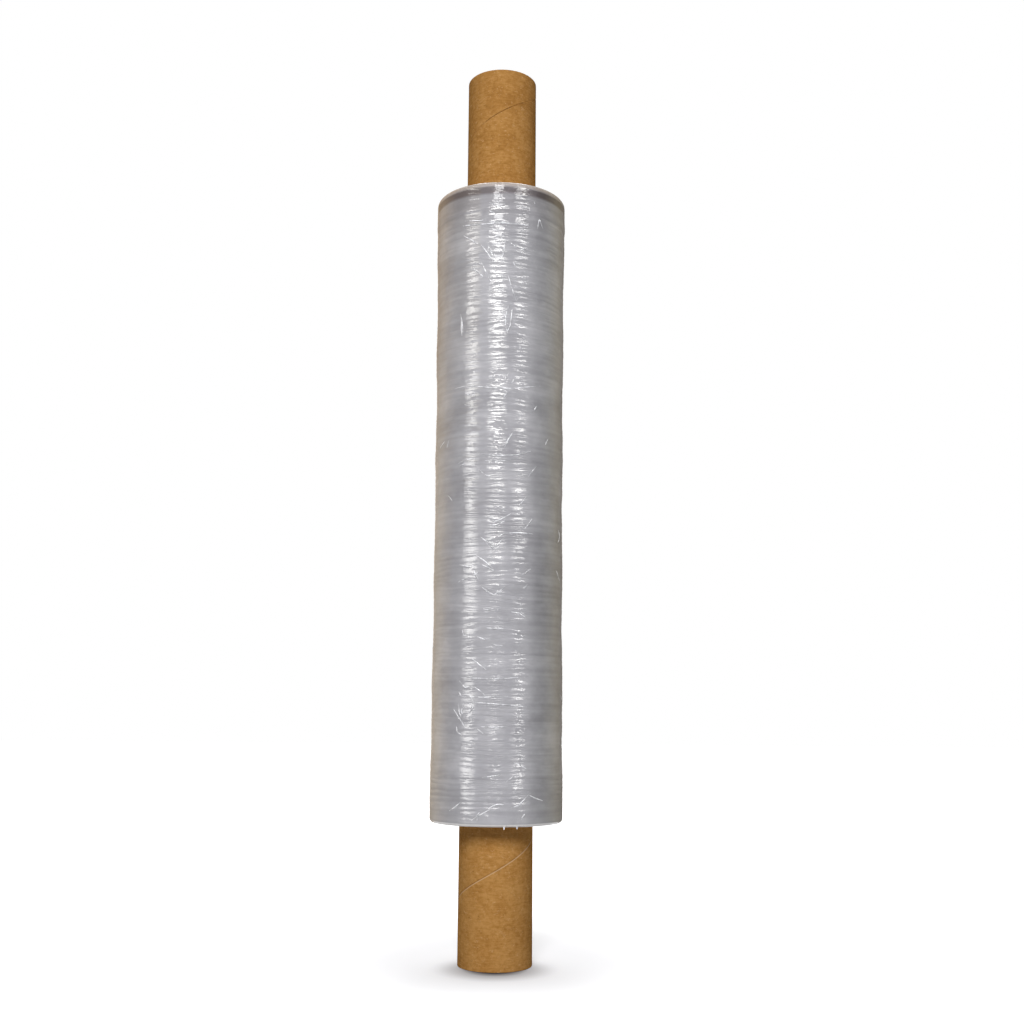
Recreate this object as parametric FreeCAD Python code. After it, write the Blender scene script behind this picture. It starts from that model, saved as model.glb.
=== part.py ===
# Stretch wrap roll: clear film wound on a paper core that is longer than the film is wide,
# so that both of its ends stand out as hand grips.
#
# Millimetres. The origin is the centre of the core's lower end, on the surface the roll stands on.
# +Z runs up the core, and the side seen in the photograph faces -Y.

import FreeCAD
import Part

import math
import os

# Paper core
core_bore = 50.8  # a 2 inch mandrel passes through it
core_wall = 3.5
core_edge_break = 0.4  # the cut ends are slightly softened
lower_grip = 108.0  # bare core below the winding
upper_grip = 110.0  # bare core above the winding

# Spiral butt joint of the core's outermost paper ply
seam_pitch = 102.4  # rise for each turn
seam_width = 0.8
seam_depth = 0.3
seam_front_height = 74.0  # where the joint crosses the front, above the lower end
seam_overrun = 6.0  # the cutter starts and ends this far past the core

# Film winding
film_width = 508.0  # 20 inch web
wound_diameter = 104.4  # at the lower edge of the winding
edge_round = 3.0  # rolled-over edges of the web
edge_flats = 3  # straight runs that make each quarter round
waist_height = 178.0  # the winding is thinnest here, above its lower edge
waist_depth = 0.5
band_pitch = 88.0  # soft bands where the film runs a little thick
band_height = 0.28
band_first = 24.0  # first crest above the lower edge
bead_width = 22.0  # the upper edge of the web builds up a low bead
bead_height = 0.5
bead_slope = 6.0

# Turns that show on the two end faces
turn_rings = 4
ring_height = 0.35

core_radius = core_bore / 2 + core_wall
core_length = lower_grip + film_width + upper_grip
film_bottom = lower_grip
film_top = lower_grip + film_width


def point(radius, height):
    """A point of a turned outline, in the XZ plane."""
    return FreeCAD.Vector(radius, 0, height)


def turned(edges):
    """The solid that a closed outline sweeps in one turn about Z."""
    outline = Part.Face(Part.Wire(edges))
    return outline.revolve(FreeCAD.Vector(0, 0, 0), FreeCAD.Vector(0, 0, 1), 360)


def smooth_rise(value, start, length):
    """0 before start, 1 after start + length, and a smooth climb between."""
    share = min(max((value - start) / length, 0.0), 1.0)
    return share * share * (3 - 2 * share)


def plain_core():
    """The tube with its four rims broken, before the ply joint is cut."""
    bore_radius = core_bore / 2
    corners = [
        point(bore_radius, core_edge_break),
        point(bore_radius + core_edge_break, 0),
        point(core_radius - core_edge_break, 0),
        point(core_radius, core_edge_break),
        point(core_radius, core_length - core_edge_break),
        point(core_radius - core_edge_break, core_length),
        point(bore_radius + core_edge_break, core_length),
        point(bore_radius, core_length - core_edge_break),
    ]
    return turned(Part.makePolygon(corners + corners[:1]).Edges)


def seam_cutter():
    """A V-shaped thread along the ply joint, as long as the core and a little more."""
    travel = core_length + 2 * seam_overrun
    path = Part.Wire(Part.makeHelix(seam_pitch, travel, core_radius).Edges)
    lip = seam_depth  # the V goes on outside the paper, so that its mouth is cut clean
    half_mouth = seam_width / 2 * (seam_depth + lip) / seam_depth
    section = Part.makePolygon(
        [
            point(core_radius - seam_depth, 0),
            point(core_radius + lip, half_mouth),
            point(core_radius + lip, -half_mouth),
            point(core_radius - seam_depth, 0),
        ]
    )
    thread = path.makePipeShell([section], True, True)
    thread.translate(FreeCAD.Vector(0, 0, -seam_overrun))
    turns_to_front = (seam_front_height + seam_overrun) / seam_pitch
    thread.rotate(
        FreeCAD.Vector(0, 0, 0), FreeCAD.Vector(0, 0, 1), -90 - 360 * turns_to_front
    )
    return thread


def core_tube():
    """The spiral-wound paper core, one piece from end to end."""
    return plain_core().cut(seam_cutter())


def winding_radius(height):
    """Outer radius of the winding, at a height above its lower edge."""
    waist = waist_depth * (((height - waist_height) / waist_height) ** 2 - 1)
    band = band_height * math.cos(2 * math.pi * (height - band_first) / band_pitch)
    fade = smooth_rise(height, 0, band_first)
    bead = bead_height * smooth_rise(height, film_width - bead_width - bead_slope, bead_slope)
    return wound_diameter / 2 + waist + fade * band + bead


def end_corners(radius, height, outward):
    """An end face from the core outward: the ridges of its turns, then the rolled edge."""
    face_edge = radius - edge_round
    ring_width = (face_edge - core_radius) / turn_rings
    corners = [point(core_radius, height)]
    for ring in range(turn_rings):
        crest = core_radius + (ring + 0.5) * ring_width
        corners.append(point(crest, height + outward * ring_height))
        corners.append(point(crest + ring_width / 2, height))
    for flat in range(1, edge_flats):
        angle = math.pi / 2 * flat / edge_flats
        depth = edge_round * (1 - math.cos(angle))
        corners.append(point(face_edge + edge_round * math.sin(angle), height - outward * depth))
    return corners


def side_edges():
    """The outside of the winding between its rolled edges: an arc over each crest and hollow."""
    half_band = band_pitch / 2
    bead_foot = film_width - bead_width - bead_slope
    heights = [edge_round]
    for count in range(math.ceil(film_width / half_band)):
        flank = band_first + half_band * (count + 0.5)
        if edge_round + half_band / 2 < flank < bead_foot - half_band / 2:
            heights.append(flank)
    heights += [bead_foot, bead_foot + bead_slope, film_width - edge_round]
    edges = []
    for low, high in zip(heights, heights[1:]):
        stops = [low, (low + high) / 2, high]
        points = [point(winding_radius(height), film_bottom + height) for height in stops]
        edges.append(Part.Arc(*points).toShape())
    return edges


def film_roll():
    """All the turns of film as one solid, wound tight on the core."""
    low_radius = winding_radius(edge_round)
    high_radius = winding_radius(film_width - edge_round)
    lower_end = end_corners(low_radius, film_bottom, -1)
    lower_end.append(point(low_radius, film_bottom + edge_round))
    upper_end = end_corners(high_radius, film_top, 1)
    upper_end.append(point(high_radius, film_top - edge_round))
    bore = Part.makeLine(upper_end[0], lower_end[0])
    ends = Part.makePolygon(lower_end).Edges + Part.makePolygon(upper_end).Edges
    return turned(Part.sortEdges(ends + side_edges() + [bore])[0])


def write(name, shape):
    """Writes the one solid of a sub-part to its file."""
    (solid,) = shape.Solids
    print(name, "valid", solid.isValid(), "volume", round(solid.Volume, 1))
    solid.exportStep(os.path.join("parts", name + ".step"))


os.makedirs("parts", exist_ok=True)
write("core_tube", core_tube())
write("film_roll", film_roll())
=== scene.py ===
# %% [markdown]
# # A stretch wrap roll
#
# The roll is a long paper core with a web of clear film wound on its middle. The core sticks out at
# both ends, so that two hands can hold it while somebody walks round a pallet.
#
# The solid pieces come from the CAD model. This script gives them their looks: the fine ridges and
# creases of the film, the fibres of the paper, and a small photo studio around them.

import math

import bpy
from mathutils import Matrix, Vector


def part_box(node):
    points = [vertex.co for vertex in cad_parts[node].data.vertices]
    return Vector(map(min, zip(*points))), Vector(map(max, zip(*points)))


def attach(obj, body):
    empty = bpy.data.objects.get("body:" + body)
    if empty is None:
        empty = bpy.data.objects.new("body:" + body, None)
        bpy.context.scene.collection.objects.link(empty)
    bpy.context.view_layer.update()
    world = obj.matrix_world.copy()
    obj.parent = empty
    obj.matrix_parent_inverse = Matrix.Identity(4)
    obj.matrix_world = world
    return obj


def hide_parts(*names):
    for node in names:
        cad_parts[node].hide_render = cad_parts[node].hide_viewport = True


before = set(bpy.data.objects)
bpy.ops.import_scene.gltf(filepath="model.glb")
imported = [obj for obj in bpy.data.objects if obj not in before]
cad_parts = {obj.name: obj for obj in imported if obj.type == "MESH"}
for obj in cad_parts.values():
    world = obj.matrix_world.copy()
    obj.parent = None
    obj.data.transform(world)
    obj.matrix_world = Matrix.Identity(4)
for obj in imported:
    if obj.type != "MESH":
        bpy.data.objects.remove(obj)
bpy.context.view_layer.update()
core_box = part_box("core_tube")
film_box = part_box("film_roll")
print("CAD nodes:", sorted(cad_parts))
print("core box:", core_box, "film box:", film_box)

# %% [markdown]
# ## Sizes
#
# Everything is in metres, with the origin at the centre of the core's lower end and +Z along the
# core. The core's radius and length are read from its CAD node, so they can't drift apart from it;
# the ends of the film are given as numbers. The other values describe the same soft bands, waist
# and bead that the solid has.

# %% Sizes
MM = 0.001
core_radius = core_box[1][0]
core_height = core_box[1][2]
ply_thickness = 0.5 * MM
seam_pitch = 102.4 * MM
seam_front_height = 74.0 * MM
film_low = 108.0 * MM
film_high = 616.0 * MM
film_width = film_high - film_low

lower_radius = 52.2 * MM
edge_round = 3.0 * MM
waist_height = 178.0 * MM
waist_depth = 0.5 * MM
band_pitch = 88.0 * MM
band_height = 0.28 * MM
band_first = 24.0 * MM
bead_width = 22.0 * MM
bead_height = 0.5 * MM
bead_slope = 6.0 * MM
print("film from", film_low, "to", film_high, "m, core", core_height, "m long")

# %% [markdown]
# ## Helpers for node trees
#
# Geometry Nodes and materials are both trees of nodes. Building a tree in a script takes the same
# three steps each time: add a node, set its options, feed its inputs. One helper does all three, and
# a second one covers plain arithmetic, which is what most of the nodes here do.


# %% Helpers for node trees
def add_node(tree, kind, inputs=(), **options):
    """Adds a node, sets its options, and feeds its inputs with values or with other sockets."""
    made = tree.nodes.new(kind)
    for name, value in options.items():
        setattr(made, name, value)
    for name, value in dict(inputs).items():
        if isinstance(value, bpy.types.NodeSocket):
            tree.links.new(value, made.inputs[name])
        else:
            made.inputs[name].default_value = value
    return made


def calc(tree, operation, first, second=0.0, third=0.0):
    """One arithmetic node; returns its result."""
    inputs = {0: first, 1: second}
    if operation == "MULTIPLY_ADD":
        inputs[2] = third
    return add_node(tree, "ShaderNodeMath", inputs, operation=operation).outputs[0]


def new_tree(name, sockets):
    """A Geometry Nodes tree with one geometry in and out, and named inputs for its sizes."""
    tree = bpy.data.node_groups.new(name, "GeometryNodeTree")
    tree.interface.new_socket("Geometry", in_out="INPUT", socket_type="NodeSocketGeometry")
    tree.interface.new_socket("Geometry", in_out="OUTPUT", socket_type="NodeSocketGeometry")
    for label, kind in sockets.items():
        tree.interface.new_socket(label, in_out="INPUT", socket_type="NodeSocket" + kind)
    return tree


def grow(name, start, tree, values):
    """Runs a tree on a starting mesh and returns the finished piece as a plain mesh object."""
    seed_object = bpy.data.objects.new(name + "_start", start)
    bpy.context.collection.objects.link(seed_object)
    modifier = seed_object.modifiers.new(name, "NODES")
    modifier.node_group = tree
    for item in tree.interface.items_tree:
        if item.in_out == "INPUT" and item.name in values:
            modifier[item.identifier] = values[item.name]
    seen = seed_object.evaluated_get(bpy.context.evaluated_depsgraph_get())
    mesh = bpy.data.meshes.new_from_object(seen)
    mesh.name = name
    seed_object.modifiers.remove(modifier)
    bpy.data.objects.remove(seed_object)
    piece = bpy.data.objects.new(name, mesh)
    bpy.context.collection.objects.link(piece)
    mesh.calc_loop_triangles()
    print(name, "has", len(mesh.loop_triangles), "triangles")
    return piece


# %% [markdown]
# ## The outline of the winding
#
# If the roll were sawn in half along its core, the cut film would show this outline. It runs from
# the core out over the lower end face, up the side, and back over the upper end face. It is a list
# of points, one for each row of the mesh, so that the side can have fine rows and the hidden bore
# none at all.


# %% The outline of the winding
def smooth_rise(value, start, length):
    share = min(max((value - start) / length, 0.0), 1.0)
    return share * share * (3 - 2 * share)


def winding_radius(height):
    """Radius of the soft shape, at a height above the lower edge of the film."""
    waist = waist_depth * (((height - waist_height) / waist_height) ** 2 - 1)
    band = band_height * math.cos(2 * math.pi * (height - band_first) / band_pitch)
    fade = smooth_rise(height, 0, band_first)
    bead = bead_height * smooth_rise(height, film_width - bead_width - bead_slope, bead_slope)
    return lower_radius + waist + fade * band + bead


def end_face(radius, level, outward):
    """Points from the core out to the rolled edge; groups of turns stand a little proud."""
    points = []
    steps = 26
    for step in range(steps + 1):
        share = step / steps
        wave = math.sin(share * 41.0) * math.sin(share * 13.0 + 1.0)
        lift = 0.18 * MM * wave * smooth_rise(1 - share, 0, 0.1) * smooth_rise(share, 0, 0.05)
        points.append((core_radius + share * (radius - edge_round - core_radius), level + outward * lift))
    for step in range(1, 6):
        angle = math.pi / 2 * step / 6
        inset = edge_round * (1 - math.sin(angle))
        points.append((radius - inset, level - outward * edge_round * (1 - math.cos(angle))))
    return points


side_rows = 930
side_step = (film_width - 2 * edge_round) / side_rows
side = [edge_round + row * side_step for row in range(side_rows + 1)]
outline = end_face(winding_radius(edge_round), film_low, -1)
outline += [(winding_radius(height), film_low + height) for height in side]
outline += end_face(winding_radius(film_width - edge_round), film_high, 1)[::-1]
outline.append(outline[0])
outline_mesh = bpy.data.meshes.new("outline")
outline_mesh.from_pydata([(radius, 0, level) for radius, level in outline], [], [])
print("outline of", len(outline), "points, rows on the side", round(side_step / MM, 2), "mm apart")

# %% [markdown]
# ## Winding the film
#
# The film was stretched as it was wound, and each turn lies a little differently from the one
# below. That leaves ridges that run around the roll, a few millimetres apart and a tenth of a
# millimetre high. They are what breaks the reflection of a lamp into a ladder of short bright dashes.
#
# They could be a bump map, but a real shape also shows in the outline and in other programs. A
# Geometry Nodes tree makes them: a flat grid is bent around the core, each row takes its radius
# from the outline, and noise that is stretched around the roll pushes the surface in and out.


# %% Winding the film
def swell(tree, place, around, along, detail, seed):
    """Noise between about -1 and 1, stretched around the roll."""
    span = add_node(tree, "ShaderNodeCombineXYZ", {"X": around, "Y": around, "Z": along}).outputs[0]
    scaled = add_node(tree, "ShaderNodeVectorMath", {0: place, 1: span}, operation="DIVIDE").outputs[0]
    noise = add_node(
        tree,
        "ShaderNodeTexNoise",
        {"Vector": scaled, "W": seed, "Scale": 1.0, "Detail": detail},
        noise_dimensions="4D",
    )
    return calc(tree, "MULTIPLY_ADD", noise.outputs[0], 2.0, -1.0)


def outline_point(tree, outline_in, row):
    """Where the outline is at a row."""
    position = add_node(tree, "GeometryNodeInputPosition").outputs[0]
    return add_node(
        tree,
        "GeometryNodeSampleIndex",
        {"Geometry": outline_in, "Value": position, "Index": row},
        data_type="FLOAT_VECTOR",
        domain="POINT",
        clamp=True,
    ).outputs[0]


winding_tree = new_tree(
    "wind_the_film",
    {
        "Columns": "Int",
        "Core Radius": "Float",
        "Ridge Height": "Float",
        "Ridge Pitch": "Float",
        "Swell Height": "Float",
        "Swell Pitch": "Float",
        "Lower Edge": "Float",
        "Upper Edge": "Float",
        "Calm Stretch": "Float",
        "Seed": "Float",
        "Finish": "Material",
    },
)
print("inputs:", [item.name for item in winding_tree.interface.items_tree])

# %% The grid and its place around the core
t = winding_tree
given = t.nodes.new("NodeGroupInput").outputs
rows = add_node(t, "GeometryNodeAttributeDomainSize", {"Geometry": given["Geometry"]}).outputs["Point Count"]
columns = calc(t, "ADD", given["Columns"], 1.0)
grid = add_node(t, "GeometryNodeMeshGrid", {"Vertices X": columns, "Vertices Y": rows}).outputs["Mesh"]
flat = add_node(t, "ShaderNodeSeparateXYZ", {0: add_node(t, "GeometryNodeInputPosition").outputs[0]}).outputs
angle = calc(t, "MULTIPLY", calc(t, "ADD", flat["X"], 0.5), 2 * math.pi)
last_row = calc(t, "SUBTRACT", rows, 1.0)
row = calc(t, "ROUND", calc(t, "MULTIPLY", calc(t, "ADD", flat["Y"], 0.5), last_row))
across = calc(t, "SINE", angle)
deep = calc(t, "COSINE", angle)

here = add_node(t, "ShaderNodeSeparateXYZ", {0: outline_point(t, given["Geometry"], row)}).outputs
after = outline_point(t, given["Geometry"], calc(t, "ADD", row, 1.0))
before = outline_point(t, given["Geometry"], calc(t, "SUBTRACT", row, 1.0))
run = add_node(t, "ShaderNodeVectorMath", {0: after, 1: before}, operation="SUBTRACT").outputs[0]
run = add_node(t, "ShaderNodeVectorMath", {0: run}, operation="NORMALIZE").outputs[0]
slope = add_node(t, "ShaderNodeSeparateXYZ", {0: run}).outputs
print("grid of", len(outline), "rows")

# %% Ridges and swells
place = add_node(t, "ShaderNodeCombineXYZ", {"X": across, "Y": deep, "Z": here["Z"]}).outputs[0]
pitch = given["Ridge Pitch"]
seeds = [calc(t, "ADD", given["Seed"], float(number)) for number in range(5)]
wander = swell(t, place, 0.9, calc(t, "MULTIPLY", pitch, 3.5), 1.0, seeds[0])
turns = calc(t, "MULTIPLY_ADD", wander, 1.5, calc(t, "DIVIDE", here["Z"], pitch))
off_crest = calc(t, "MULTIPLY_ADD", calc(t, "FRACT", turns), 2.0, -1.0)
hoops = calc(t, "MULTIPLY_ADD", calc(t, "POWER", calc(t, "ABSOLUTE", off_crest), 2.0), -1.0, 0.5)
dashes = swell(t, place, 0.22, calc(t, "MULTIPLY", pitch, 0.45), 1.0, seeds[1])
gate = swell(t, place, 0.6, calc(t, "MULTIPLY", pitch, 3.5), 1.0, seeds[2])
strength = calc(t, "MAXIMUM", calc(t, "MULTIPLY_ADD", gate, 1.0, 1.0), 0.5)
strength = calc(t, "MINIMUM", strength, 1.3)
from_low = calc(t, "SUBTRACT", here["Z"], given["Lower Edge"])
from_high = calc(t, "SUBTRACT", given["Upper Edge"], here["Z"])
calm = calc(t, "DIVIDE", calc(t, "MINIMUM", from_low, from_high), given["Calm Stretch"])
calm = calc(t, "MULTIPLY_ADD", calc(t, "MINIMUM", calm, 1.0), 0.8, 0.2)
fine = calc(t, "MULTIPLY", calc(t, "MULTIPLY_ADD", dashes, 0.6, hoops), strength)
dents = swell(t, place, 0.16, calc(t, "MULTIPLY", given["Swell Pitch"], 0.4), 1.0, seeds[3])
broad = swell(t, place, 0.6, given["Swell Pitch"], 1.0, seeds[4])
broad = calc(t, "MULTIPLY_ADD", dents, 0.5, broad)
lift = calc(t, "MULTIPLY_ADD", broad, given["Swell Height"], calc(t, "MULTIPLY", fine, given["Ridge Height"]))
on_side = calc(t, "POWER", calc(t, "ABSOLUTE", slope["Z"]), 4.0)
outside = calc(t, "GREATER_THAN", here["X"], calc(t, "MULTIPLY", given["Core Radius"], 1.1))
lift = calc(t, "MULTIPLY", calc(t, "MULTIPLY", lift, calm), calc(t, "MULTIPLY", on_side, outside))

radius = calc(t, "ADD", here["X"], lift)
moved = add_node(
    t,
    "ShaderNodeCombineXYZ",
    {"X": calc(t, "MULTIPLY", across, radius), "Y": calc(t, "MULTIPLY", deep, radius), "Z": here["Z"]},
).outputs[0]
bent = add_node(t, "GeometryNodeSetPosition", {"Geometry": grid, "Position": moved}).outputs[0]
closed = add_node(t, "GeometryNodeMergeByDistance", {"Geometry": bent, "Distance": 0.002 * MM}).outputs[0]
outward = add_node(t, "GeometryNodeFlipFaces", {"Mesh": closed}).outputs[0]
smooth = add_node(t, "GeometryNodeSetShadeSmooth", {"Geometry": outward}).outputs[0]
whole = add_node(t, "GeometryNodeRealizeInstances", {"Geometry": smooth}).outputs[0]
dressed = add_node(t, "GeometryNodeSetMaterial", {"Geometry": whole, "Material": given["Finish"]}).outputs[0]
add_node(t, "NodeGroupOutput", {"Geometry": dressed})
print("tree of", len(t.nodes), "nodes")

# %% [markdown]
# ## The look of the film
#
# One layer of stretch film is as clear as glass. Hundreds of layers on top of each other, with a
# little air between them, turn milky grey, and only the outermost layer still acts as a mirror.
# A real stack of clear layers would take a renderer ages, so the milky body is the base colour and
# the outermost layer is the coat: sharp reflections over a soft grey.


# %% The look of the film
def new_material(name):
    """A material with an empty tree: its tree, its shader and its object coordinates."""
    material = bpy.data.materials.new(name)
    material.use_nodes = True
    tree = material.node_tree
    tree.nodes.clear()
    shader = add_node(tree, "ShaderNodeBsdfPrincipled")
    add_node(tree, "ShaderNodeOutputMaterial", {"Surface": shader.outputs[0]})
    place = add_node(tree, "ShaderNodeTexCoord").outputs["Object"]
    return material, tree, shader, place


def stretched_noise(tree, place, scale, detail=2.0, roughness=0.5):
    """Noise with its own scale along each axis; returns a value from 0 to 1."""
    scaled = add_node(tree, "ShaderNodeMapping", {"Vector": place, "Scale": scale}).outputs[0]
    inputs = {"Vector": scaled, "Scale": 1.0, "Detail": detail, "Roughness": roughness}
    return add_node(tree, "ShaderNodeTexNoise", inputs).outputs[0]


def ramp(tree, value, stops):
    """A colour ramp through stops of place and colour."""
    made = add_node(tree, "ShaderNodeValToRGB", {0: value})
    while len(made.color_ramp.elements) < len(stops):
        made.color_ramp.elements.new(0.5)
    for element, (position, colour) in zip(made.color_ramp.elements, stops):
        element.position = position
        element.color = (*colour, 1.0)
    return made.outputs[0]


film_material, t, shader, place = new_material("wound_film")
cloud = stretched_noise(t, place, (22, 22, 34), 4.0, 0.6)
bands = stretched_noise(t, place, (5, 5, 260), 3.0)
milk = calc(t, "MULTIPLY_ADD", bands, 0.3, calc(t, "MULTIPLY", cloud, 0.7))
milky = ramp(t, milk, [(0.35, (0.27, 0.265, 0.265)), (0.5, (0.355, 0.35, 0.35)), (0.65, (0.46, 0.452, 0.45))])
# Painted shade: a dark band a few millimetres under the upper rim, with a ragged lower edge, stands in for the shade
# where the film turns over the edge, and the top 46 mm are painted darker towards it.
height = add_node(t, "ShaderNodeSeparateXYZ", {0: place}).outputs["Z"]
rag = calc(t, "MULTIPLY_ADD", stretched_noise(t, place, (30, 30, 30)), 1.5 * MM, height)
starts = {"Value": rag, "From Min": film_high - 12.5 * MM, "From Max": film_high - 8 * MM}
starts = add_node(t, "ShaderNodeMapRange", starts, interpolation_type="SMOOTHSTEP").outputs[0]
stops = {"Value": height, "From Min": film_high - 5.5 * MM, "From Max": film_high - 2.8 * MM}
stops = add_node(t, "ShaderNodeMapRange", stops, interpolation_type="SMOOTHSTEP").outputs[0]
shade = calc(t, "SUBTRACT", starts, stops)
top_shade = {"Value": height, "From Min": film_high - 46 * MM, "From Max": film_high - 14 * MM, "To Max": 0.3}
top_shade = add_node(t, "ShaderNodeMapRange", top_shade, interpolation_type="SMOOTHSTEP").outputs[0]
shade = calc(t, "MAXIMUM", shade, calc(t, "MULTIPLY", top_shade, calc(t, "SUBTRACT", 1.0, stops)))
colour = add_node(t, "ShaderNodeMix", {0: shade, 6: milky, 7: (0.095, 0.078, 0.07, 1)}, data_type="RGBA")
# Painted highlight: the rolled edge above the band is a pale warm line, partly the film's translucent edge and partly
# the light it catches.
rim = {0: stops, 6: colour.outputs[2], 7: (0.4, 0.34, 0.29, 1)}
colour = add_node(t, "ShaderNodeMix", rim, data_type="RGBA")
lower_edge = {"Value": height, "From Min": film_low + 2.4 * MM, "From Max": film_low + 1.7 * MM}
lower_edge = add_node(t, "ShaderNodeMapRange", lower_edge).outputs[0]
inputs = {0: lower_edge, 6: colour.outputs[2], 7: (0.9, 0.88, 0.85, 1)}
colour = add_node(t, "ShaderNodeMix", inputs, data_type="RGBA")
t.links.new(colour.outputs[2], shader.inputs["Base Color"])
shader.inputs["Roughness"].default_value = 0.5
shader.inputs["Specular IOR Level"].default_value = 0.15
shader.inputs["Coat Weight"].default_value = 1.0
shader.inputs["Coat Roughness"].default_value = 0.07
shader.inputs["Coat IOR"].default_value = 1.5

threads = stretched_noise(t, place, (9, 9, 900), 2.0)
crinkles = stretched_noise(t, place, (210, 210, 260), 2.0)
relief = calc(t, "MULTIPLY_ADD", crinkles, 5.0, threads)
bump = add_node(t, "ShaderNodeBump", {"Strength": 0.5, "Distance": 0.00005, "Height": relief}).outputs[0]
t.links.new(bump, shader.inputs["Normal"])
t.links.new(bump, shader.inputs["Coat Normal"])
print("film material with", len(t.nodes), "nodes")

# %% Wind it
film = grow(
    "film_winding",
    outline_mesh,
    winding_tree,
    {
        "Columns": 96,
        "Core Radius": core_radius,
        "Ridge Height": 0.12 * MM,
        "Ridge Pitch": 4.2 * MM,
        "Swell Height": 0.5 * MM,
        "Swell Pitch": 20.0 * MM,
        "Lower Edge": film_low,
        "Upper Edge": film_high,
        "Calm Stretch": 26.0 * MM,
        "Seed": 4.0,
        "Finish": film_material,
    },
)
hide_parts("film_roll")
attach(film, "root")
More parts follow.
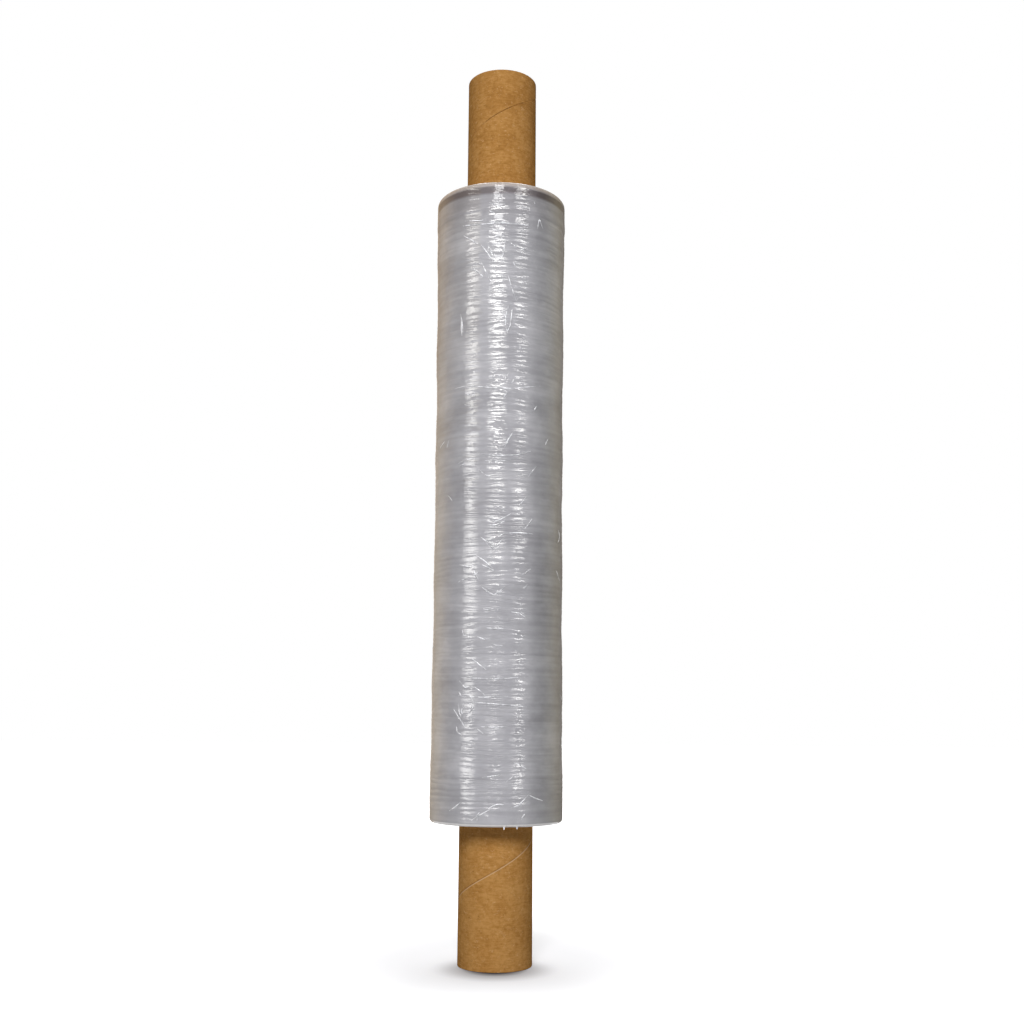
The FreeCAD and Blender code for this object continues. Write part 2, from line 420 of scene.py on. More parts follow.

# %% [markdown]
# ## Creases
#
# Where the web wandered or was pinched, the outermost layers folded into thin bright creases, most
# of them slanting. The ones that show best are listed one by one. The rest are scattered with a fixed
# seed, so that every run of the script gives the same roll.
#
# Creases are easy to draw on a flat sheet and hard to draw on a cylinder. So the tree lays them out
# flat, with the way around the roll as X and the height as Y, turns them into thin tubes, and then
# wraps the sheet around the roll: each point looks for the film with a ray and settles on it.

# %% Creases listed one by one
# Each one is a chain of points: degrees around from the front, to the right, and metres of height.
hand_creases = [
    [(34, 0.579), (36, 0.588), (40, 0.581)],
    [(-17, 0.563), (-12, 0.557), (-6, 0.548)],
    [(9, 0.564), (15, 0.561), (24, 0.560)],
    [(-17, 0.549), (-13, 0.541), (-8, 0.532)],
    [(7, 0.537), (10, 0.528), (14, 0.517)],
    [(8, 0.513), (5.5, 0.505), (5, 0.497), (7, 0.489)],
    [(-37, 0.508), (-35, 0.500), (-34, 0.492)],
    [(12, 0.409), (8, 0.403), (5, 0.397)],
    [(-17, 0.380), (-11, 0.375), (-6, 0.374)],
    [(27, 0.375), (31, 0.380), (35, 0.384)],
    [(25, 0.359), (22, 0.355), (19, 0.352)],
    [(-4, 0.338), (4, 0.341), (11, 0.345)],
    [(24, 0.334), (28, 0.338), (31, 0.342)],
    [(-18, 0.312), (-11, 0.308), (-4, 0.302)],
    [(21, 0.297), (26, 0.300), (30, 0.303)],
    [(-20, 0.301), (-19, 0.297), (-16, 0.293)],
    [(-15, 0.289), (-8, 0.284), (-3, 0.282)],
    [(-3, 0.282), (2, 0.284), (6, 0.288)],
    [(-21, 0.233), (-15, 0.229), (-9, 0.225)],
    [(-19, 0.212), (-14, 0.209), (-9, 0.205)],
    [(-39, 0.195), (-33, 0.188), (-27, 0.181)],
    [(28, 0.132), (35, 0.129), (43, 0.127)],
    [(-42, 0.119), (-36, 0.122), (-30, 0.126)],
    [(-20, 0.113), (-13, 0.117), (-5, 0.121)],
    [(-15, 0.113), (-15, 0.117), (-13, 0.119)],
    [(-35, 0.5813), (-21, 0.5802), (-3, 0.5803), (13, 0.5807), (25, 0.5808)],
    [(-10, 0.598), (-3, 0.595), (3, 0.5935)],
    [(-10, 0.591), (-4, 0.588)],
    [(13, 0.596), (25, 0.5945)],
    [(30, 0.602), (31, 0.600)],
    [(-30, 0.571), (-20, 0.564)],
    [(1, 0.3275), (6, 0.3293), (18, 0.3303), (32, 0.330)],
    [(-9, 0.3355), (-1, 0.336), (6, 0.3392)],
    [(-12, 0.271), (-7, 0.270), (-3, 0.2715)],
    [(0, 0.270), (2, 0.2715)],
    [(12, 0.269), (20, 0.268), (25, 0.265)],
    [(-17, 0.250), (-10, 0.2475)],
    [(23, 0.287), (26, 0.290)],
    [(68, 0.338), (72, 0.331), (66, 0.326)],
    [(-37, 0.386), (-30, 0.3885), (-21, 0.389)],
    [(-6, 0.122), (1, 0.125), (7, 0.125)],
    [(12, 0.122), (20, 0.1245), (28, 0.1315)],
    [(22, 0.114), (25, 0.118)],
    [(-33, 0.2163), (-28, 0.2114), (-23, 0.2119)],
    [(-34, 0.2082), (-31, 0.2048)],
    [(-29, 0.1992), (-31, 0.1934), (-29, 0.1902)],
    [(-34, 0.1992), (-33, 0.1918), (-30, 0.1877)],
    [(-23, 0.1992), (-20, 0.1967), (-22, 0.1934), (-26, 0.1934)],
    [(-36, 0.1820), (-35, 0.1779), (-30, 0.1755)],
    [(-16, 0.1805), (-9, 0.1757)],
    [(-35, 0.3057), (-24, 0.3035), (-19, 0.3050)],
    [(-20, 0.2975), (-17, 0.2990)],
    [(-36, 0.2922), (-32, 0.2938), (-26, 0.2951)],
    [(-13, 0.3048), (-3, 0.3004)],
    [(-5, 0.2448), (-1, 0.2432), (5, 0.2432)],
    [(-31, 0.2551), (-30, 0.2510), (-24, 0.2500)],
    [(15, 0.1556), (19, 0.1547), (27, 0.1506)],
    [(-11, 0.1444), (-2, 0.1457), (7, 0.1473)],
    [(9, 0.1413), (15, 0.1460)],
    [(-36, 0.5036), (-36, 0.4945), (-35, 0.4898)],
    [(-27, 0.5427), (-21, 0.5420), (-15, 0.5369)],
    [(-20, 0.5483), (-14, 0.5459)],
    [(-11, 0.5620), (-6, 0.5527), (-5, 0.5500)],
    [(4, 0.5654), (2, 0.5526)],
    [(11, 0.5095), (9, 0.4952), (6, 0.4897)],
    [(6, 0.4507), (8, 0.4570)],
    [(11, 0.4491), (14, 0.4538)],
    [(4, 0.4375), (7, 0.4411)],
    [(-33, 0.4436), (-27, 0.4397), (-21, 0.4407)],
    [(-32, 0.4333), (-23, 0.4298)],
    [(35, 0.4328), (33, 0.4291)],
    [(-36, 0.3838), (-31, 0.3852)],
    [(11, 0.5486), (13, 0.5454)],
    [(-15, 0.3267), (-9, 0.3227), (-3, 0.3164)],
    [(-3, 0.3164), (1, 0.3218), (5, 0.3257)],
    [(-31, 0.2191), (-10, 0.2179), (7, 0.2183), (21, 0.2195)],
    [(-34, 0.2052), (-15, 0.2040), (10, 0.2048)],
    [(-20, 0.2003), (3, 0.1988), (27, 0.1973)],
    [(-13, 0.1821), (-1, 0.1817), (10, 0.1824)],
    [(-19, 0.3931), (-2, 0.3902), (16, 0.3914), (29, 0.3955)],
    [(-12, 0.3868), (-1, 0.3858), (11, 0.3872)],
    [(-9, 0.2565), (-1, 0.2557), (6, 0.2565)],
    [(-47, 0.4474), (-29, 0.4480), (-8, 0.4452), (11, 0.4445), (39, 0.4494)],
    [(-35, 0.5818), (-21, 0.5802), (-9, 0.5804)],
    [(-12, 0.5803), (-6, 0.5808), (1, 0.5810), (10, 0.5805)],
    [(7, 0.5801), (16, 0.5803), (24, 0.5805)],
    [(-33, 0.5854), (-17, 0.5833), (-12, 0.5845)],
    [(-10, 0.5818), (-3, 0.5822), (4, 0.5820)],
    [(-28, 0.5454), (-24, 0.5428), (-20, 0.5410), (-15, 0.5363)],
    [(-34, 0.5731), (-27, 0.5688), (-22, 0.5647)],
]
verts = []
edges = []
for chain in hand_creases:
    for step, (degrees, height) in enumerate(chain):
        if step:
            edges.append((len(verts) - 1, len(verts)))
        verts.append((math.radians(degrees) * lower_radius, height, 0))
crease_mesh = bpy.data.meshes.new("hand_creases")
crease_mesh.from_pydata(verts, edges, [])
print(len(hand_creases), "creases placed by hand")

# %% Scattered creases: where they lie and how they turn
def random_between(tree, low, high, seed):
    """A random number for each point or copy, from low to high."""
    inputs = {2: low, 3: high, "Seed": seed}
    return add_node(tree, "FunctionNodeRandomValue", inputs, data_type="FLOAT").outputs[1]


crease_tree = new_tree(
    "crease_the_film",
    {
        "Film": "Object",
        "Count": "Int",
        "Low": "Float",
        "High": "Float",
        "Roll Radius": "Float",
        "Shortest": "Float",
        "Longest": "Float",
        "Thickness": "Float",
        "Lift": "Float",
        "Seed": "Int",
        "Finish": "Material",
    },
)
t = crease_tree
given = t.nodes.new("NodeGroupInput").outputs
seeds = [calc(t, "ADD", given["Seed"], number) for number in range(6)]
half_way = calc(t, "MULTIPLY", given["Roll Radius"], math.pi)
scatter = add_node(
    t,
    "ShaderNodeCombineXYZ",
    {
        "X": random_between(t, calc(t, "MULTIPLY", half_way, 0.22), calc(t, "MULTIPLY", half_way, 1.78), seeds[0]),
        "Y": random_between(t, given["Low"], given["High"], seeds[1]),
    },
).outputs[0]
spots = add_node(t, "GeometryNodePoints", {"Count": given["Count"], "Position": scatter}).outputs[0]
steep = random_between(t, 0.3, 1.25, seeds[2])
side_of = calc(t, "SIGN", random_between(t, -1.0, 1.0, seeds[3]))
turn = add_node(t, "ShaderNodeCombineXYZ", {"Z": calc(t, "MULTIPLY", steep, side_of)}).outputs[0]
length = random_between(t, given["Shortest"], given["Longest"], seeds[4])
print("creases lie at 17 to 72 degrees to the edge of the film")

# %% Scattered creases: three shapes of fold
folds = add_node(t, "GeometryNodeJoinGeometry")
for middle in ((0.5, 0.02, 0), (0.55, 0.1, 0), (0.75, 0.2, 0)):
    bow = add_node(
        t,
        "GeometryNodeCurveQuadraticBezier",
        {"Resolution": 12, "Start": (0, 0, 0), "Middle": middle, "End": (1, 0, 0)},
    ).outputs[0]
    bow = add_node(t, "GeometryNodeGeometryToInstance", {"Geometry": bow}).outputs[0]
    t.links.new(bow, folds.inputs[0])
laid = add_node(
    t,
    "GeometryNodeInstanceOnPoints",
    {
        "Points": spots,
        "Instance": folds.outputs[0],
        "Pick Instance": True,
        "Instance Index": calc(t, "FLOOR", random_between(t, 0.0, 2.99, seeds[5])),
        "Rotation": add_node(t, "FunctionNodeEulerToRotation", {0: turn}).outputs[0],
        "Scale": add_node(t, "ShaderNodeCombineXYZ", {"X": length, "Y": length, "Z": length}).outputs[0],
    },
).outputs[0]
loose = add_node(t, "GeometryNodeRealizeInstances", {"Geometry": laid}).outputs[0]
by_hand = add_node(t, "GeometryNodeMeshToCurve", {"Mesh": given["Geometry"]}).outputs[0]
by_hand = add_node(t, "GeometryNodeResampleCurve", {"Curve": by_hand, "Count": 14}).outputs[0]
lines = add_node(t, "GeometryNodeJoinGeometry")
t.links.new(loose, lines.inputs[0])
t.links.new(by_hand, lines.inputs[0])
print("three folds, from nearly straight to hooked")

# %% Scattered creases: from lines to folds that lie on the film
along = add_node(t, "GeometryNodeSplineParameter").outputs["Factor"]
taper = calc(t, "SQRT", calc(t, "SINE", calc(t, "MULTIPLY_ADD", along, math.pi * 0.96, math.pi * 0.02)))
line = add_node(t, "GeometryNodeSetCurveRadius", {"Curve": lines.outputs[0], "Radius": taper}).outputs[0]
section = add_node(
    t, "GeometryNodeCurvePrimitiveCircle", {"Resolution": 6, "Radius": given["Thickness"]}
).outputs[0]
radius_field = add_node(t, "GeometryNodeInputRadius").outputs[0]
tubes = add_node(
    t,
    "GeometryNodeCurveToMesh",
    {"Curve": line, "Profile Curve": section, "Scale": radius_field, "Fill Caps": True},
).outputs[0]

sheet = add_node(t, "ShaderNodeSeparateXYZ", {0: add_node(t, "GeometryNodeInputPosition").outputs[0]}).outputs
around = calc(t, "DIVIDE", sheet["X"], given["Roll Radius"])
across = calc(t, "SINE", around)
deep = calc(t, "MULTIPLY", calc(t, "COSINE", around), -1.0)
reach = calc(t, "MULTIPLY", given["Roll Radius"], 1.4)
start = add_node(
    t,
    "ShaderNodeCombineXYZ",
    {
        "X": calc(t, "MULTIPLY", across, reach),
        "Y": calc(t, "MULTIPLY", deep, reach),
        "Z": sheet["Y"],
    },
).outputs[0]
inward = add_node(
    t,
    "ShaderNodeCombineXYZ",
    {"X": calc(t, "MULTIPLY", across, -1.0), "Y": calc(t, "MULTIPLY", deep, -1.0)},
).outputs[0]
film_shape = add_node(t, "GeometryNodeObjectInfo", {"Object": given["Film"]}).outputs["Geometry"]
found = add_node(
    t,
    "GeometryNodeRaycast",
    {"Target Geometry": film_shape, "Source Position": start, "Ray Direction": inward, "Ray Length": reach},
).outputs
raised = calc(t, "MULTIPLY", sheet["Z"], given["Lift"])
raised = add_node(t, "ShaderNodeVectorMath", {0: found["Hit Normal"], "Scale": raised}, operation="SCALE").outputs[0]
settled = add_node(t, "ShaderNodeVectorMath", {0: found["Hit Position"], 1: raised}).outputs[0]
wrapped = add_node(t, "GeometryNodeSetPosition", {"Geometry": tubes, "Position": settled}).outputs[0]
smooth = add_node(t, "GeometryNodeSetShadeSmooth", {"Geometry": wrapped}).outputs[0]
whole = add_node(t, "GeometryNodeRealizeInstances", {"Geometry": smooth}).outputs[0]
dressed = add_node(t, "GeometryNodeSetMaterial", {"Geometry": whole, "Material": given["Finish"]}).outputs[0]
add_node(t, "NodeGroupOutput", {"Geometry": dressed})
print("tree of", len(t.nodes), "nodes")

# %% Fold the creases
crease_material, t, shader, place = new_material("film_crease")
# Painted highlight: the creases' colour runs in patches from mid grey to near white, standing in for the glints that
# the thin folds catch; the two bits of film under the lower edge share it.
glint = stretched_noise(t, place, (220, 220, 220), 2.0)
colour = ramp(t, glint, [(0.42, (0.42, 0.42, 0.42)), (0.6, (0.93, 0.93, 0.93))])
t.links.new(colour, shader.inputs["Base Color"])
shader.inputs["Roughness"].default_value = 0.3
shader.inputs["Coat Weight"].default_value = 0.7
shader.inputs["Coat Roughness"].default_value = 0.15

creases = grow(
    "film_creases",
    crease_mesh,
    crease_tree,
    {
        "Film": film,
        "Count": 42,
        "Low": film_low + 12 * MM,
        "High": film_high - 12 * MM,
        "Roll Radius": lower_radius,
        "Shortest": 4 * MM,
        "Longest": 13 * MM,
        "Thickness": 0.5 * MM,
        "Lift": 0.5,
        "Seed": 11,
        "Finish": crease_material,
    },
)
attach(creases, "root")

# %% Two loose bits of film under the lower edge
nib_radius = lower_radius - 1.4 * MM
nib_half_width = 0.7 * MM
nib_thickness = 0.7 * MM
verts = []
faces = []
for degrees, tip in ((7.5, 106.6 * MM), (18.5, 106.8 * MM)):
    turn = math.radians(degrees)
    first = len(verts)
    for level, half_width in ((film_low + 0.6 * MM, nib_half_width), (tip, nib_half_width * 0.5)):
        for out, aside in ((0, -1), (0, 1), (1, 1), (1, -1)):
            radius = nib_radius + out * nib_thickness
            swing = turn + aside * half_width / radius
            verts.append((radius * math.sin(swing), -radius * math.cos(swing), level))
    top, bottom = (first + 3, first + 2, first + 1, first), (first + 4, first + 5, first + 6, first + 7)
    faces += [top, bottom]
    for corner in range(4):
        after = (corner + 1) % 4
        faces.append((first + corner, first + after, first + 4 + after, first + 4 + corner))
nib_mesh = bpy.data.meshes.new("film_nibs")
nib_mesh.from_pydata(verts, [], faces)
nib_mesh.materials.append(crease_material)
nibs = bpy.data.objects.new("film_nibs", nib_mesh)
bpy.context.collection.objects.link(nibs)
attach(nibs, "root")
print(len(faces), "faces in the two bits")

# %% [markdown]
# ## The paper core
#
# The core is wound from strips of unbleached paper, glued on top of each other in a spiral. The CAD
# node already has the joint of the outermost strip as a fine groove, so its mesh stays. What it
# lacks is the paper: a warm brown that clouds a little, short fibres that lie every way, a few pale
# and dark specks, and on the cut ends the lines of the plies.

# %% Fibres and plies
def fibres(tree, place, scale, width, share, strength):
    """Short curved hairs: the thin lines where a noise crosses its middle, kept in some places only."""
    line = calc(tree, "ABSOLUTE", calc(tree, "SUBTRACT", stretched_noise(tree, place, scale, 1.0), 0.5))
    line = add_node(tree, "ShaderNodeMapRange", {"Value": line, "From Max": width, "To Min": 1.0, "To Max": 0.0})
    spread = tuple(part * 0.8 + 31.0 for part in scale)
    kept = stretched_noise(tree, place, spread, 1.0)
    kept = add_node(tree, "ShaderNodeMapRange", {"Value": kept, "From Min": share, "From Max": share + 0.06})
    return calc(tree, "MULTIPLY", calc(tree, "MULTIPLY", line.outputs[0], kept.outputs[0]), strength)


def tinted(tree, amount, base, colour):
    """The base colour, covered by another one in an amount that varies."""
    inputs = {0: amount, 6: base, 7: (*colour, 1.0)}
    return add_node(tree, "ShaderNodeMix", inputs, data_type="RGBA").outputs[2]


# %% The paper core
kraft, t, shader, place = new_material("kraft_paper")
cloud = stretched_noise(t, place, (38, 38, 55), 3.0, 0.6)
mottle = stretched_noise(t, place, (330, 330, 420), 3.0, 0.65)
streaks = stretched_noise(t, place, (150, 150, 900), 2.0)
tone = calc(t, "MULTIPLY_ADD", mottle, 0.4, calc(t, "MULTIPLY_ADD", streaks, 0.25, calc(t, "MULTIPLY", cloud, 0.35)))
spot = add_node(t, "ShaderNodeSeparateXYZ", {0: place}).outputs
low_half = calc(t, "LESS_THAN", spot["Z"], core_height / 2)
# Painted light: the lower half of the core is a shade lighter, so that it comes out as bright as the upper half
# although less light reaches it.
tone = calc(t, "MULTIPLY_ADD", low_half, 0.035, tone)
paper = ramp(
    t,
    tone,
    [(0.38, (0.345, 0.157, 0.038)), (0.5, (0.435, 0.21, 0.056)), (0.62, (0.525, 0.273, 0.084))],
)
paper = tinted(t, fibres(t, place, (300, 300, 420), 0.035, 0.57, 0.4), paper, (0.72, 0.48, 0.24))
paper = tinted(t, fibres(t, place, (520, 520, 260), 0.03, 0.61, 0.3), paper, (0.70, 0.45, 0.21))
paper = tinted(t, fibres(t, place, (230, 230, 340), 0.025, 0.61, 0.55), paper, (0.17, 0.075, 0.02))

around = calc(t, "DIVIDE", calc(t, "ARCTAN2", spot["X"], calc(t, "MULTIPLY", spot["Y"], -1.0)), 2 * math.pi)
rise = calc(t, "DIVIDE", calc(t, "SUBTRACT", spot["Z"], seam_front_height), seam_pitch)
turns = calc(t, "SUBTRACT", rise, around)
off_seam = calc(t, "MULTIPLY", calc(t, "SUBTRACT", turns, calc(t, "ROUND", turns)), seam_pitch)
from_axis = calc(t, "SQRT", calc(t, "MULTIPLY_ADD", spot["X"], spot["X"], calc(t, "MULTIPLY", spot["Y"], spot["Y"])))
outside = calc(t, "GREATER_THAN", from_axis, core_radius - 0.5 * MM)
tight = {"Value": calc(t, "ABSOLUTE", calc(t, "ADD", around, 0.014)), "From Min": 0.05, "From Max": 0.085, "To Min": 1.0, "To Max": 0.0}
tight = calc(t, "MAXIMUM", add_node(t, "ShaderNodeMapRange", tight).outputs[0], low_half)
# The spiral seam: a dark line along the joint, stronger in the upper half, and in the lower half a pale line just below
# it, a painted highlight where the overlapped edge of the strip catches light. In the upper half the lines show only
# near the front.
for middle, colour, low, high in (
    (-0.6 * MM, (0.78, 0.56, 0.34), 0.42, 0.0),
    (0.1 * MM, (0.12, 0.055, 0.02), 0.2, 0.45),
):
    gap = calc(t, "ABSOLUTE", calc(t, "SUBTRACT", off_seam, middle))
    line = {"Value": gap, "From Min": 0.25 * MM, "From Max": 0.75 * MM, "To Min": 1.0, "To Max": 0.0}
    line = calc(t, "MULTIPLY", add_node(t, "ShaderNodeMapRange", line).outputs[0], outside)
    strength = calc(t, "MULTIPLY", calc(t, "MULTIPLY_ADD", low_half, low - high, high), tight)
    paper = tinted(t, calc(t, "MULTIPLY", line, strength), paper, colour)
plies = calc(t, "SINE", calc(t, "MULTIPLY", from_axis, 2 * math.pi / ply_thickness))
half_way = calc(t, "ABSOLUTE", calc(t, "SUBTRACT", spot["Z"], core_height / 2))
on_cut = calc(t, "GREATER_THAN", half_way, core_height / 2 - 0.3 * MM)
paper = tinted(t, calc(t, "MULTIPLY", calc(t, "MULTIPLY_ADD", plies, 0.22, 0.25), on_cut), paper, (0.2, 0.1, 0.035))
t.links.new(paper, shader.inputs["Base Color"])
shader.inputs["Roughness"].default_value = 0.85
shader.inputs["Specular IOR Level"].default_value = 0.0
grain = stretched_noise(t, place, (900, 900, 900), 3.0, 0.6)
bump = add_node(t, "ShaderNodeBump", {"Strength": 0.5, "Distance": 0.00025, "Height": grain}).outputs[0]
t.links.new(bump, shader.inputs["Normal"])
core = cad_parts["core_tube"]
for slot in core.material_slots:
    slot.material = kraft
print("core material with", len(t.nodes), "nodes")

# %% [markdown]
# ## The studio
#
# A product photo on white needs three things: a floor that is white in the picture but still holds
# the soft shadow where the core stands, a white room for the film to mirror, and lamps that are
# tall and narrow, because the shape of a lamp is what a glossy roll shows. The shadow on the floor
# is partly cast by the lamps and partly painted: the floor's white glow fades out towards the foot
# of the core, and its colour darkens right in front of it.

# %% The floor
floor_mesh = bpy.data.meshes.new("floor")
floor_mesh.from_pydata([(-6, -6, 0), (6, -6, 0), (6, 6, 0), (-6, 6, 0)], [], [(0, 1, 2, 3)])
floor = bpy.data.objects.new("floor", floor_mesh)
bpy.context.collection.objects.link(floor)
floor_material = bpy.data.materials.new("floor_paper")
floor_material.use_nodes = True
t = floor_material.node_tree
t.nodes.clear()
rays = add_node(t, "ShaderNodeLightPath").outputs
seen = calc(t, "MAXIMUM", rays["Is Camera Ray"], calc(t, "MAXIMUM", rays["Is Glossy Ray"], rays["Is Transmission Ray"]))
spot = add_node(t, "ShaderNodeTexCoord").outputs["Object"]
# Painted shadow: the white glow that the camera sees fades out towards the core's foot, so a soft dark ring shows there
# on top of the shadows that the lamps cast.
away = {0: spot, 1: (0, 25 * MM, 0)}
away = add_node(t, "ShaderNodeVectorMath", away, operation="DISTANCE").outputs["Value"]
ahead = {0: spot, 1: (0, -15 * MM, 0)}
ahead = add_node(t, "ShaderNodeVectorMath", ahead, operation="DISTANCE").outputs["Value"]
near = {"Value": ahead, "From Min": 12 * MM, "From Max": 52 * MM, "To Max": 0.5}
near = add_node(t, "ShaderNodeMapRange", near, interpolation_type="SMOOTHSTEP").outputs[0]
far = {"Value": away, "From Min": 0.06, "From Max": 0.25, "To Max": 0.57}
far = add_node(t, "ShaderNodeMapRange", far, interpolation_type="SMOOTHSTEP").outputs[0]
glow = calc(t, "MULTIPLY", seen, calc(t, "ADD", near, far))
# Painted shadow: the floor's colour also darkens right in front of the foot, as a thin contact line.
painted_foot_shadow = {"Value": ahead, "From Min": 14 * MM, "From Max": 26 * MM, "To Min": 0.05, "To Max": 0.5}
grey = calc(t, "MULTIPLY", add_node(t, "ShaderNodeMapRange", painted_foot_shadow).outputs[0], seen)
grey = calc(t, "MULTIPLY_ADD", calc(t, "SUBTRACT", 1.0, seen), 0.4, grey)
paper = add_node(t, "ShaderNodeCombineColor", {0: grey, 1: grey, 2: calc(t, "MULTIPLY", grey, 1.03)}).outputs[0]
matt = add_node(t, "ShaderNodeBsdfDiffuse", {"Color": paper}).outputs[0]
white = add_node(t, "ShaderNodeEmission", {"Color": (1, 1, 1, 1), "Strength": glow}).outputs[0]
both = add_node(t, "ShaderNodeAddShader", {0: matt, 1: white}).outputs[0]
add_node(t, "ShaderNodeOutputMaterial", {"Surface": both})
floor_mesh.materials.append(floor_material)

# %% The white room
world = bpy.data.worlds.new("white_room")
bpy.context.scene.world = world
world.use_nodes = True
t = world.node_tree
t.nodes.clear()
rays = add_node(t, "ShaderNodeLightPath").outputs
seen = calc(t, "MAXIMUM", rays["Is Camera Ray"], calc(t, "MAXIMUM", rays["Is Glossy Ray"], rays["Is Transmission Ray"]))
soft = add_node(t, "ShaderNodeBackground", {"Color": (1.0, 0.86, 0.68, 1), "Strength": 0.05}).outputs[0]
white = add_node(t, "ShaderNodeBackground", {"Color": (1, 1, 1, 1), "Strength": 1.0}).outputs[0]
room = add_node(t, "ShaderNodeMixShader", {0: seen, 1: soft, 2: white}).outputs[0]
add_node(t, "ShaderNodeOutputWorld", {"Surface": room})
print("the room is seen as white and adds a little warm light")


# %% Lamps
def soft_box(name, degrees, distance, middle, width, height, radiance, mirrored=True, lights=True, colour=(1, 1, 1)):
    """A soft box at an angle from the camera's side, turned to the middle of the roll."""
    light = bpy.data.lights.new(name, "AREA")
    light.shape = "RECTANGLE"
    light.size = width
    light.size_y = height
    light.energy = radiance * math.pi * width * height
    light.color = colour
    lamp = bpy.data.objects.new(name, light)
    turn = math.radians(degrees)
    lamp.location = (distance * math.sin(turn), -distance * math.cos(turn), middle)
    aim = Vector((0, 0, core_height / 2)) - lamp.location
    lamp.rotation_euler = aim.to_track_quat("-Z", "Y").to_euler()
    lamp.visible_camera = False
    lamp.visible_glossy = mirrored
    lamp.visible_diffuse = lights
    bpy.context.collection.objects.link(lamp)
    return lamp


soft_box("key", -4, 4.0, 2.5, 1.3, 1.6, 27.5, mirrored=False, colour=(0.95, 0.965, 1.0))
strip_spacing = 0.52
strips = {
    # middle of the strip, its height and its radiance, from the lowest strip up
    ("left", -49, 0.5): ((0.1, 0.22, 8.7), (0.54, 0.22, 10.2), (0.95, 0.2, 9.6), (1.5, 0.2, 8.5)),
    ("middle", -4, 0.6): ((0.12, 0.05, 12.0), (0.64, 0.064, 29.0), (1.06, 0.1, 31.0), (1.68, 0.08, 29.0)),
    ("right", 37.5, 0.46): ((0.12, 0.07, 15.3), (0.64, 0.07, 18.0), (1.16, 0.07, 20.0), (1.68, 0.07, 16.0)),
}
for (name, degrees, width), stack in strips.items():
    for number, (middle, height, radiance) in enumerate(stack):
        for layer, share in enumerate((0.5, 1.0, 1.5)):
            soft_box(
                f"{name}_strip_{number}_{layer}",
                degrees,
                1.5 + 0.02 * layer,
                middle,
                width * share,
                height,
                radiance / 3,
                lights=False,
                colour=(1.0, 0.99, 0.94),
            )
soft_box("middle_rim_strip", -4, 1.5, 1.28, 0.4, 0.12, 12.0, lights=False)
soft_box("right_rim_strip", 33, 1.5, 1.25, 0.3, 0.1, 4.5, lights=False)
soft_box("top_panel", 180, 0.4, 2.2, 0.85, 0.85, 7.0)
soft_box("back_left", -150, 1.8, 0.9, 0.9, 0.9, 2.8, mirrored=False)
soft_box("back_right", 150, 1.8, 0.9, 0.9, 0.9, 3.3, mirrored=False)


# %% [markdown]
# ## What the film mirrors
#
# Between the lamps the film mirrors the room: bluish white cards beside the camera, warm walls at
# the sides, and a dark corner far back on the right. A round wall carries all of them as one strip
# of colours. It only shows in reflections, so it neither lights the roll nor hides it.

# %% The mirrored wall
wall_tones = [
    (-180, (0.5, 0.42, 0.35)),
    (-145, (0.8, 0.66, 0.5)),
    (-120, (1.55, 1.3, 1.02)),
    (-100, (1.4, 1.2, 1.1)),
    (-86, (0.85, 0.8, 0.95)),
    (-68, (1.0, 0.98, 1.2)),
    (-52, (2.25, 2.2, 2.55)),
    (-10, (2.0, 1.95, 2.3)),
    (30, (1.8, 1.75, 2.1)),
    (52, (1.75, 1.7, 1.95)),
    (70, (0.2, 0.2, 0.32)),
    (84, (0.12, 0.12, 0.16)),
    (100, (0.66, 0.61, 0.45)),
    (118, (0.78, 0.68, 0.45)),
    (132, (0.5, 0.42, 0.26)),
    (146, (0.35, 0.31, 0.26)),
    (165, (0.2, 0.18, 0.15)),
    (180, (0.3, 0.25, 0.2)),
]
brightest = 4.0
wall_height = 2.6
wall_distance = 1.7
skirt_distance = 0.3
skirt_level = 2 * MM
sides = 48
verts = []
for side_number in range(sides):
    turn = 2 * math.pi * side_number / sides
    for distance, level in ((skirt_distance, skirt_level), (wall_distance, skirt_level), (wall_distance, wall_height)):
        verts.append((distance * math.sin(turn), -distance * math.cos(turn), level))
faces = []
for side_number in range(sides):
    left, right = 3 * side_number, 3 * ((side_number + 1) % sides)
    for lower in range(2):
        faces.append((left + lower, right + lower, right + lower + 1, left + lower + 1))
wall_mesh = bpy.data.meshes.new("mirrored_wall")
wall_mesh.from_pydata(verts, [], faces)
wall = bpy.data.objects.new("mirrored_wall", wall_mesh)
bpy.context.collection.objects.link(wall)
for kind in ("camera", "diffuse", "shadow", "transmission"):
    setattr(wall, "visible_" + kind, False)
wall_material = bpy.data.materials.new("mirrored_wall")
wall_material.use_nodes = True
t = wall_material.node_tree
t.nodes.clear()
spot = add_node(t, "ShaderNodeSeparateXYZ", {0: add_node(t, "ShaderNodeTexCoord").outputs["Object"]}).outputs
around = calc(t, "ARCTAN2", spot["X"], calc(t, "MULTIPLY", spot["Y"], -1.0))
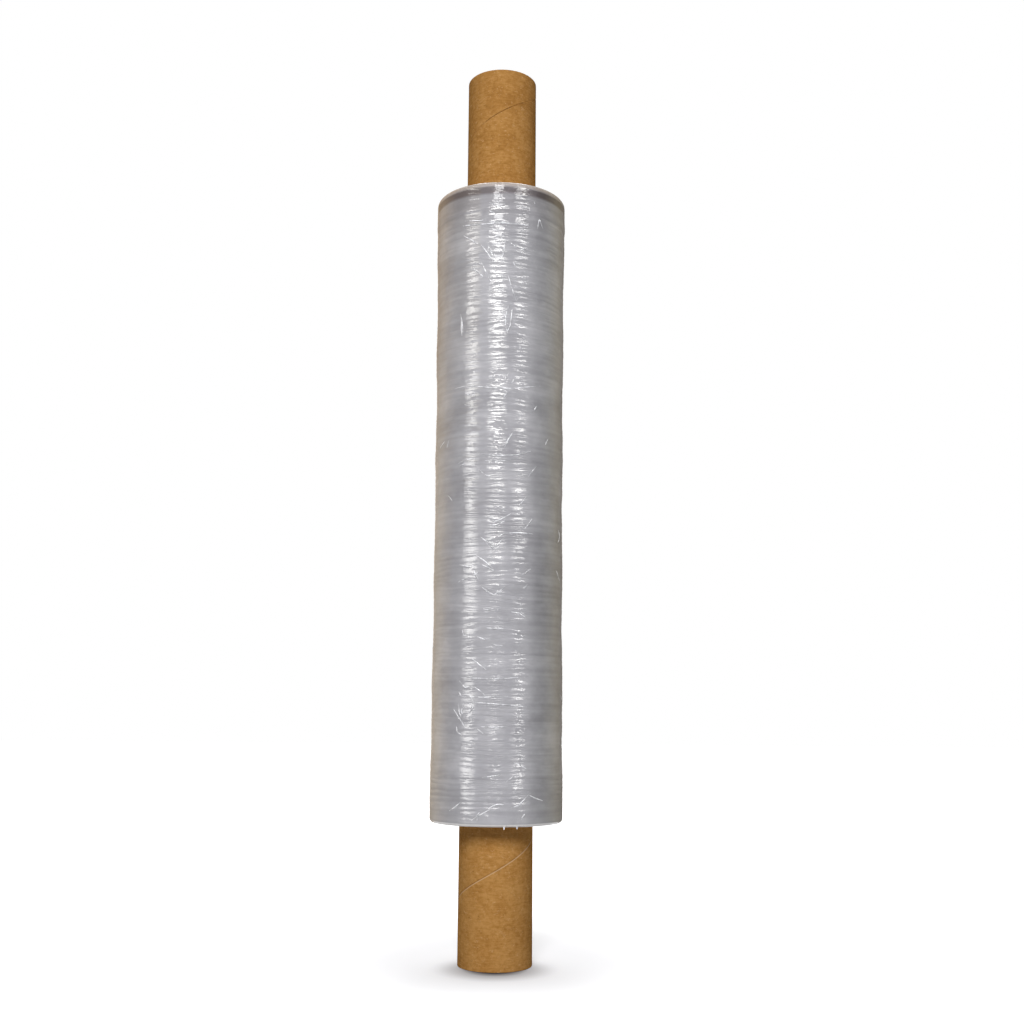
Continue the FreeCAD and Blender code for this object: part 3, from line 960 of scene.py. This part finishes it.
around = calc(t, "MULTIPLY_ADD", around, 1 / (2 * math.pi), 0.5)
stops = [(degrees / 360 + 0.5, [part / brightest for part in tone]) for degrees, tone in wall_tones]
facing = {"Value": calc(t, "ABSOLUTE", calc(t, "SUBTRACT", around, 0.48)), "From Min": 0.14, "From Max": 0.2, "To Min": 0.3, "To Max": 0.0}
facing = add_node(t, "ShaderNodeMapRange", facing).outputs[0]
rows = calc(t, "COSINE", calc(t, "MULTIPLY", calc(t, "SUBTRACT", spot["Z"], 0.12), 2 * math.pi / strip_spacing))
rows = calc(t, "MULTIPLY_ADD", rows, facing, 1.0)
on_wall = calc(t, "MULTIPLY_ADD", calc(t, "GREATER_THAN", spot["Z"], 1.5 * skirt_level), 0.25, 0.75)
rows = calc(t, "MULTIPLY", rows, on_wall)
high = {"Value": spot["Z"], "From Min": 0.6, "From Max": 1.1}
high = add_node(t, "ShaderNodeMapRange", high, interpolation_type="SMOOTHSTEP").outputs[0]
high_left = calc(t, "MULTIPLY", high, calc(t, "LESS_THAN", around, 0.4))
tones = {0: high_left, 6: ramp(t, around, stops), 7: (0.76, 0.68, 0.58, 1.0)}
tones = add_node(t, "ShaderNodeMix", tones, data_type="RGBA", blend_type="MULTIPLY").outputs[2]
glow = add_node(t, "ShaderNodeEmission", {"Color": tones, "Strength": calc(t, "MULTIPLY", rows, brightest)})
add_node(t, "ShaderNodeOutputMaterial", {"Surface": glow.outputs[0]})
wall_mesh.materials.append(wall_material)

# %% The camera
camera_data = bpy.data.cameras.new("camera")
camera_data.sensor_width = 36.0
camera_data.lens = 1246.4 / 1024 * 36.0
camera = bpy.data.objects.new("camera", camera_data)
camera.location = (0.01088, -1.00472, 0.19543)
camera.rotation_euler = (math.radians(90 + 8.982), 0, 0)
camera.rotation_euler.rotate_axis("Z", math.radians(0.418))
bpy.context.collection.objects.link(camera)
bpy.context.scene.camera = camera
bpy.context.scene.view_settings.view_transform = "Standard"
print("lens", round(camera_data.lens, 2), "mm")
